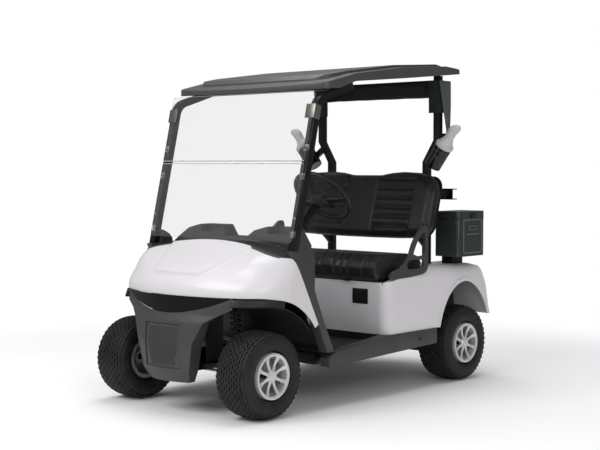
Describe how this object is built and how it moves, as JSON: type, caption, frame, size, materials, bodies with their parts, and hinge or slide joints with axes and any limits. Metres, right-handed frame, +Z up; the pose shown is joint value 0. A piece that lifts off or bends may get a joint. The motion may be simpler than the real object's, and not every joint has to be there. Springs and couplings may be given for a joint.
{
  "type": "two-seat golf cart",
  "caption": "Electric golf cart with a bench seat, canopy, clear fold-down windscreen, steered front wheels, golf-bag well and rack, stowed bag cover and a small cooler.",
  "frame": {"origin": "on the ground under the middle of the overall box", "axes": "+Z up, the cart drives towards -Y, its left side is +X"},
  "size_m": [1.3194, 2.339, 1.889],
  "materials": {
    "black_plastic": "grained",
    "black_steel": "powder coat",
    "body_white": "painted moulded body",
    "bright_steel": "zinc plated",
    "cast_iron": "painted",
    "charcoal_plastic": "grained",
    "clear_acrylic": "clear",
    "cooler_plastic": "dark green",
    "cover_fabric": "woven",
    "gloss_black": "polished",
    "pale_plastic": "moulded",
    "rim_steel": "painted",
    "roof_plastic": "satin",
    "rubber_mat": "ribbed",
    "silver_plastic": "silver paint",
    "tyre_rubber": "treaded",
    "vinyl": "grained vinyl"
  },
  "bodies": {
    "chassis": {"backrest": "vinyl", "backrest_shell": "black_plastic", "bag_rack": "black_steel", "bag_well": "black_plastic", "battery": "black_plastic", "bottle_holders": "black_plastic", "bottles": "pale_plastic", "bumper": "charcoal_plastic", "coil_springs": "black_steel", "cooler_box": "cooler_plastic", "cowl": "body_white", "dash": "charcoal_plastic", "fender_flares": "black_plastic", "floor": "black_steel", "floor_mat": "rubber_mat", "frame": "black_steel", "front_struts": "black_steel", "front_suspension": "black_steel", "grille_panel": "black_plastic", "hip_restraints": "black_plastic", "kingpins": "bright_steel", "pedals": "rubber_mat", "pillar_trims": "charcoal_plastic", "rear_axle": "cast_iron", "rear_body": "body_white", "rear_struts": "black_steel", "rear_suspension": "black_steel", "receptacle": "black_plastic", "rockers": "charcoal_plastic", "roof": "roof_plastic", "seat_base": "charcoal_plastic", "steering_column": "black_steel", "visor": "gloss_black", "wheel_liners": "black_plastic", "windscreen": "clear_acrylic", "windscreen_clips": "bright_steel"},
    "knuckle_l": {"knuckle_left": "cast_iron"},
    "knuckle_r": {"knuckle_right": "cast_iron"},
    "wheel_front_left": {"tyre_fl": "tyre_rubber", "rim_fl": "rim_steel", "wheel_cover_fl": "silver_plastic"},
    "wheel_front_right": {"tyre_fr": "tyre_rubber", "rim_fr": "rim_steel", "wheel_cover_fr": "silver_plastic"},
    "wheel_rear_left": {"tyre_rl": "tyre_rubber", "rim_rl": "rim_steel", "wheel_cover_rl": "silver_plastic"},
    "wheel_rear_right": {"tyre_rr": "tyre_rubber", "rim_rr": "rim_steel", "wheel_cover_rr": "silver_plastic"},
    "steering": {"steering_wheel": "black_plastic"},
    "track_rod": {"tie_rod": "bright_steel"},
    "cushion": {"seat_cushion": "vinyl"},
    "lid": {"cooler_lid": "cooler_plastic"},
    "cover": {"bag_cover": "cover_fabric"}
  },
  "joints": [
    {"name": "steer_left", "type": "hinge", "parent": "chassis", "child": "knuckle_l", "pos_m": [0.3325, -0.92, 0.226], "axis": [0, 0, 1], "range_deg": [-28, 28]},
    {"name": "steer_right", "type": "hinge", "parent": "chassis", "child": "knuckle_r", "pos_m": [-0.3325, -0.92, 0.226], "axis": [0, 0, 1], "range_deg": [-28, 28]},
    {"name": "steering_turn", "type": "hinge", "parent": "chassis", "child": "steering", "pos_m": [0.28, -0.206, 1.123], "axis": [0, 0.7312, 0.6822], "range_deg": [-336, 336]},
    {"name": "tie_rod_shift", "type": "slide", "parent": "chassis", "child": "track_rod", "axis": [-1, 0, 0], "range_m": [-0.062, 0.062]},
    {"name": "wheel_front_left_spin", "type": "hinge", "parent": "knuckle_l", "child": "wheel_front_left", "pos_m": [0.4675, -0.92, 0.226], "axis": [1, 0, 0], "continuous": true},
    {"name": "wheel_front_right_spin", "type": "hinge", "parent": "knuckle_r", "child": "wheel_front_right", "pos_m": [-0.4675, -0.92, 0.226], "axis": [1, 0, 0], "continuous": true},
    {"name": "wheel_rear_left_spin", "type": "hinge", "parent": "chassis", "child": "wheel_rear_left", "pos_m": [0.4925, 0.75, 0.226], "axis": [1, 0, 0], "continuous": true},
    {"name": "wheel_rear_right_spin", "type": "hinge", "parent": "chassis", "child": "wheel_rear_right", "pos_m": [-0.4925, 0.75, 0.226], "axis": [1, 0, 0], "continuous": true},
    {"name": "cushion_hinge", "type": "hinge", "parent": "chassis", "child": "cushion", "pos_m": [0, -0.02, 0.642], "axis": [1, 0, 0], "range_deg": [0, 50]},
    {"name": "cooler_lid_hinge", "type": "hinge", "parent": "chassis", "child": "lid", "pos_m": [0.5155, 0.662, 0.977], "axis": [1, 0, 0], "range_deg": [0, 80]},
    {"name": "bag_cover_hinge", "type": "hinge", "parent": "chassis", "child": "cover", "pos_m": [0, 0.69, 1.465], "axis": [-1, 0, 0], "range_deg": [0, 75]}
  ],
  "couplings": [
    {"joint": "steer_right", "follows": "steer_left", "ratio": 1},
    {"joint": "steering_turn", "follows": "steer_left", "ratio": 12},
    {"joint": "tie_rod_shift", "follows": "steer_left", "m_per_rad": 0.1262}
  ]
}
